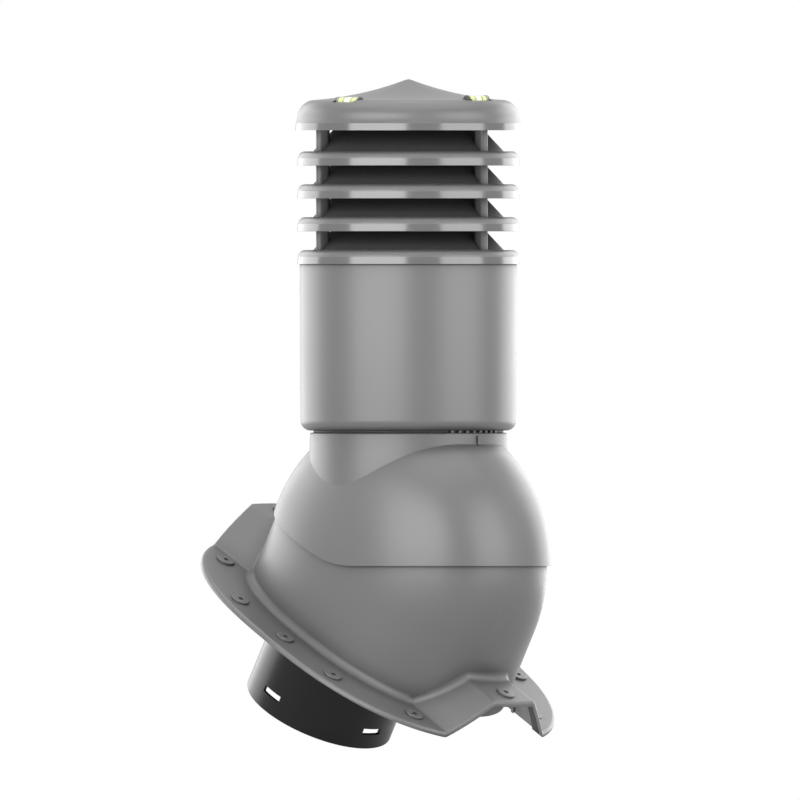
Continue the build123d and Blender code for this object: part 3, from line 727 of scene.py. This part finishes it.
# %% The hood
HOOD_WALL = 2.2
LIP_HEIGHT = 6.1
LIP_DRAFT = (0.45, 0.35)           # in from the lip, and down from its top
LIP_STEP = 0.8
LIP_BAND = (1.0, 0.3)              # the polished band: how far in, and how far below the top
HOOD_SKIRT = (1.8, 11.3)           # in from the lip, and height
HOOD_BEND = (6.5, 21.0)
HOOD_SHOULDER = (14.5, 24.7)
HOOD_SAG = (33.1, 31.7)            # radius and height
HOOD_NOSE = (3.0, 41.0)
HOOD_TIP = 41.8
BULGE = cos(radians(45))           # share of an inset along each axis in the middle of a bend

hood_foot = foot_of("hood")
hood_lip = radius_of("hood")


def through(first, middle, last, steps=14):
    """Points on the arc through three points, without its first one."""
    a, b, c = Vector(first), Vector(middle), Vector(last)
    d = 2 * (a.x * (b.y - c.y) + b.x * (c.y - a.y) + c.x * (a.y - b.y))
    x = (a.dot(a) * (b.y - c.y) + b.dot(b) * (c.y - a.y) + c.dot(c) * (a.y - b.y)) / d
    y = (a.dot(a) * (c.x - b.x) + b.dot(b) * (a.x - c.x) + c.dot(c) * (b.x - a.x)) / d
    centre = Vector((x, y))
    start = atan2(a.y - y, a.x - x)
    turn = (atan2(c.y - y, c.x - x) - start + pi) % (2 * pi) - pi
    radius = (a - centre).length
    return [
        (x + radius * cos(start + turn * n / steps), y + radius * sin(start + turn * n / steps))
        for n in range(1, steps + 1)
    ]


def hood_side(inset):
    """The hood's outline from lip to tip, drawn in by an inset."""
    lip = hood_lip - inset
    side = (lip - HOOD_SKIRT[0], HOOD_SKIRT[1])
    bend = (hood_lip - HOOD_BEND[0] - inset * BULGE, HOOD_BEND[1] - inset * BULGE)
    cone = (hood_lip - HOOD_SHOULDER[0], HOOD_SHOULDER[1] - inset)
    sag, nose = (HOOD_SAG[0], HOOD_SAG[1] - inset), (HOOD_NOSE[0], HOOD_NOSE[1] - inset)
    edge = [(lip, 0), (lip - LIP_DRAFT[0], LIP_HEIGHT - LIP_DRAFT[1]), (lip - LIP_STEP, LIP_HEIGHT)]
    curves = through(side, bend, cone) + through(cone, sag, nose)
    return edge + [side] + curves + [(0, HOOD_TIP - inset)]


mesh = bmesh.new()
outside, inside = hood_side(0), hood_side(HOOD_WALL)
turn_into(mesh, [Vector(p) for p in outside + inside[::-1]], FINE_TURN_STEPS)
for face in mesh.faces:
    centre = face.calc_center_median()
    on_lip = hypot(centre.x, centre.y) > (hood_lip - LIP_BAND[0]) * MM
    face.material_index = 1 if on_lip and centre.z < (LIP_HEIGHT - LIP_BAND[1]) * MM else 0
bmesh.ops.translate(mesh, verts=mesh.verts, vec=(0, 0, hood_foot * MM))
hood = finished(mesh, "rain_hood", [FINISHES["grey_plastic"], FINISHES["grey_polished"]])
print("plain hood:", len(hood.data.polygons), "faces")

# %% [markdown]
# ## Seats for the spirit levels
#
# Two spirit levels lie in the hood's shoulder, in half-round cups with a disc at each end. The cups
# could be drawn into the hood's section if they ran all round. As there are only two, they are
# joined on, and then the room for each tube is cut out.

# %% Cups and room for the levels
LEVELS = {"level_tube_downhill": 4.0, "level_tube_across": -86.0}  # degrees about the axis
LEVEL_RADIUS = 3.8
LEVEL_LENGTH = 22.0
LEVEL_SEAT_DROP = 0.8
LEVEL_STEPS = 48           # steps round a level
BEVEL_STEPS = 3            # steps over its rounded ends
CUP_STEPS = 64             # steps round its cup
CUP_WALL = 1.45
CUP_ENDS = 2.8             # how much longer than the level its cup is
CUP_TOP = 0.0006           # metres above the level's middle
DISC_ROUND = 0.3
ROOM_GAP = 0.05            # clearance all round a level
NOTCH_GAP = 0.06           # clearance at each end of the notch above it
NOTCH_REACH = 20           # enough to come out of the hood


def level_frame(node, angle):
    """Where a spirit level lies: at its tube's centre, with Y along the tube and X outwards."""
    low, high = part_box(node)
    centre = Vector([(a + b) / 2 for a, b in zip(low, high)])
    return Matrix.Translation(centre) @ Matrix.Rotation(radians(angle), 4, "Z")


def lying(radius, length, steps=LEVEL_STEPS, bevel=0.0):
    """A round bar along Y, in mm, about the origin."""
    mesh = bmesh.new()
    bmesh.ops.create_cone(
        mesh, cap_ends=True, segments=steps, radius1=radius * MM, radius2=radius * MM,
        depth=length * MM, matrix=Matrix.Rotation(radians(90), 4, "X"))
    if bevel:
        ends = [edge for edge in mesh.edges if abs(edge.verts[0].co.y - edge.verts[1].co.y) < 1e-6]
        bmesh.ops.bevel(
            mesh, geom=ends, offset=bevel * MM, segments=BEVEL_STEPS, profile=0.5, affect="EDGES")
    return mesh


def trimmed(mesh, height, away):
    """Cut a closed bmesh off at a height in metres, on the side that a vector points to."""
    geometry = mesh.verts[:] + mesh.edges[:] + mesh.faces[:]
    bmesh.ops.bisect_plane(
        mesh, geom=geometry, plane_co=(0, 0, height), plane_no=away, clear_outer=True)
    bmesh.ops.holes_fill(mesh, edges=[edge for edge in mesh.edges if edge.is_boundary])


cutters = []
for node, angle in LEVELS.items():
    place = level_frame(node, angle)
    room = lying(LEVEL_RADIUS + ROOM_GAP, LEVEL_LENGTH + 2 * ROOM_GAP)
    size = (LEVEL_RADIUS + NOTCH_REACH, LEVEL_LENGTH + 2 * NOTCH_GAP, NOTCH_REACH)
    notch = block(size, (size[0] / 2 - LEVEL_RADIUS, 0, NOTCH_REACH / 2 - LEVEL_SEAT_DROP))
    for number, form in enumerate((room, notch)):
        form.transform(place)
        cutters.append(finished(form, f"{node}_cut_{number}", []))
seats = []
for node, angle in LEVELS.items():
    cup = lying(LEVEL_RADIUS + CUP_WALL, LEVEL_LENGTH + CUP_ENDS, CUP_STEPS)
    trimmed(cup, CUP_TOP, (0, 0, 1))
    cup.transform(level_frame(node, angle))
    seats.append(finished(cup, f"{node}_cup", []))
    disc = lying(LEVEL_RADIUS, LEVEL_LENGTH + CUP_ENDS, CUP_STEPS, DISC_ROUND)
    disc.transform(level_frame(node, angle))
    seats.append(finished(disc, f"{node}_disc", []))
cut(hood, seats, "UNION")
cut(hood, cutters)
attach(hood, "outlet")
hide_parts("hood")
print("hood faces:", len(hood.data.polygons))

# %% [markdown]
# ## Spirit levels
#
# Each level is a clear tube of yellow-green fluid with a bubble between two dark rings. The light
# that passes through the fluid is painted on as a faint glow, and the bubble is white and glows a
# little more, a painted highlight. The clear tube stays the imported one; inside it the fluid, the
# bubble and the rings are round bars about the same axis.

# %% Fluid, bubble and rings
MARK_GAP = 8.7             # between the middles of the two dark rings
MARK_WIDTH = 1.0
BUBBLE_LENGTH = 6.4
BUBBLE_FOOT = -0.9         # from the middle of the tube
FLUID_ENDS = 2.8           # how much shorter than the level its fluid is
FLUID_DEPTH = 0.75         # from the tube's outside in to the fluid
BUBBLE_DEPTH = 0.71
MARK_DEPTH = 0.68
FLUID_ROUND = 0.5
BUBBLE_ROUND = 0.9
for node, angle in LEVELS.items():
    place = level_frame(node, angle)
    name = node.replace("tube", "vial")
    mesh = lying(LEVEL_RADIUS - FLUID_DEPTH, LEVEL_LENGTH - FLUID_ENDS, bevel=FLUID_ROUND)
    bubble = lying(LEVEL_RADIUS - BUBBLE_DEPTH, BUBBLE_LENGTH, bevel=BUBBLE_ROUND)
    trimmed(bubble, BUBBLE_FOOT * MM, (0, 0, -1))
    for face in bubble.faces:
        face.material_index = 1
    merged(mesh, bubble)
    for side in (-1, 1):
        line = lying(LEVEL_RADIUS - MARK_DEPTH, MARK_WIDTH)
        bmesh.ops.translate(line, verts=line.verts, vec=(0, side * MARK_GAP / 2 * MM, 0))
        for face in line.faces:
            face.material_index = 2
        merged(mesh, line)
    mesh.transform(place)
    vial = finished(mesh, name, [
        FINISHES["level_fluid"], FINISHES["level_bubble"], FINISHES["level_mark"]])
    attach(vial, "outlet")
    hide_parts(node.replace("tube", "fluid"))
print("levels:", len(LEVELS))

# %% [markdown]
# ## Casing
#
# The casing hides the insulated duct. A plain tube with a bevel would show the same from the front.
# It is one turned section with its floor and its spigot, so that the large bend at its foot is
# finely divided and catches the light smoothly.

# %% The casing
CASING_WALL = 2.5
CASING_CORNER = 8.5
CASING_DRAFT = 0.7         # how much narrower it is at its foot
DUCT_SEAT = 0.3            # clearance of the floor's hole on the duct's bore
SPIGOT_DEPTH = 9.0
SPIGOT_RADIUS = 77.55
SPIGOT_WALL = 2.5
casing_radius = radius_of("body_casing")
casing_top = top_of("body_casing")
casing_foot = foot_of("body_casing") + SPIGOT_DEPTH
duct_bore = radius_of("inner_duct") - DUCT_WALL + DUCT_SEAT
foot_radius = casing_radius - CASING_DRAFT

mesh = bmesh.new()
turn_into(mesh, rounded([
    (foot_radius, casing_foot, CASING_CORNER), (casing_radius, casing_top),
    (casing_radius - CASING_WALL, casing_top),
    (foot_radius - CASING_WALL, casing_foot + CASING_WALL, CASING_CORNER - CASING_WALL),
    (duct_bore, casing_foot + CASING_WALL), (duct_bore, casing_foot),
    (SPIGOT_RADIUS - SPIGOT_WALL, casing_foot),
    (SPIGOT_RADIUS - SPIGOT_WALL, casing_foot - SPIGOT_DEPTH),
    (SPIGOT_RADIUS, casing_foot - SPIGOT_DEPTH), (SPIGOT_RADIUS, casing_foot),
]), FINE_TURN_STEPS)
casing = finished(mesh, "outer_casing", [FINISHES["grey_plastic"]])
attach(casing, "outlet")
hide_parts("body_casing")
print("casing faces:", len(casing.data.polygons))

# %% [markdown]
# ## Duct stub
#
# The black stub passes through the roof and takes a flexible duct. It is turned upright, its four
# latch slots are cut with blocks, and then it is laid square to the roof, because both the turning
# and the cutting are simple only while it stands upright.

# %% The duct stub with its slots
ROOF_PITCH = 30.0
STUB_OFFSET = 30.8
STUB_RADIUS = 62.5
STUB_WALL = 3.0
STUB_END = -154.2          # from the tilt axis, square to the roof
STUB_ROUND = 1.0           # the edge at its mouth
STUB_EDGE = 0.3            # its other edges
STUB_ROOT = (0.5, -81.0, -79.5)    # how much thicker, and from where to where it tapers
COLLAR = (12.0, -66.5, -63.5)      # how much wider, its foot and its top
SLOT_SIZE = (16.0, 20.0, 5.3)
SLOT_RISE = 16.0
on_roof = Matrix.Translation((0, 0, TILT_HEIGHT)) @ Matrix.Rotation(radians(ROOF_PITCH), 4, "Y")

bore = STUB_RADIUS - STUB_WALL
mesh = bmesh.new()
turn_into(mesh, rounded([
    (bore, STUB_END, STUB_ROUND), (STUB_RADIUS, STUB_END, STUB_ROUND),
    (STUB_RADIUS, STUB_ROOT[1]),
    (STUB_RADIUS + STUB_ROOT[0], STUB_ROOT[2]), (STUB_RADIUS + STUB_ROOT[0], COLLAR[1]),
    (STUB_RADIUS + COLLAR[0], COLLAR[1]), (STUB_RADIUS + COLLAR[0], COLLAR[2]),
    (bore, COLLAR[2]),
], STUB_EDGE))
stub = finished(mesh, "stub_tube", [FINISHES["black_plastic"]])
slots = []
for quarter in range(4):
    slot = block(SLOT_SIZE, (STUB_RADIUS, 0, STUB_END + SLOT_RISE), 90 * quarter)
    slots.append(finished(slot, f"slot_{quarter}", [FINISHES["black_plastic"]]))
cut(stub, slots)
stub.data.transform(on_roof @ Matrix.Translation((-STUB_OFFSET * MM, 0, 0)))
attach(stub, "base")
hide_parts("duct_stub")
print("stub faces:", len(stub.data.polygons))
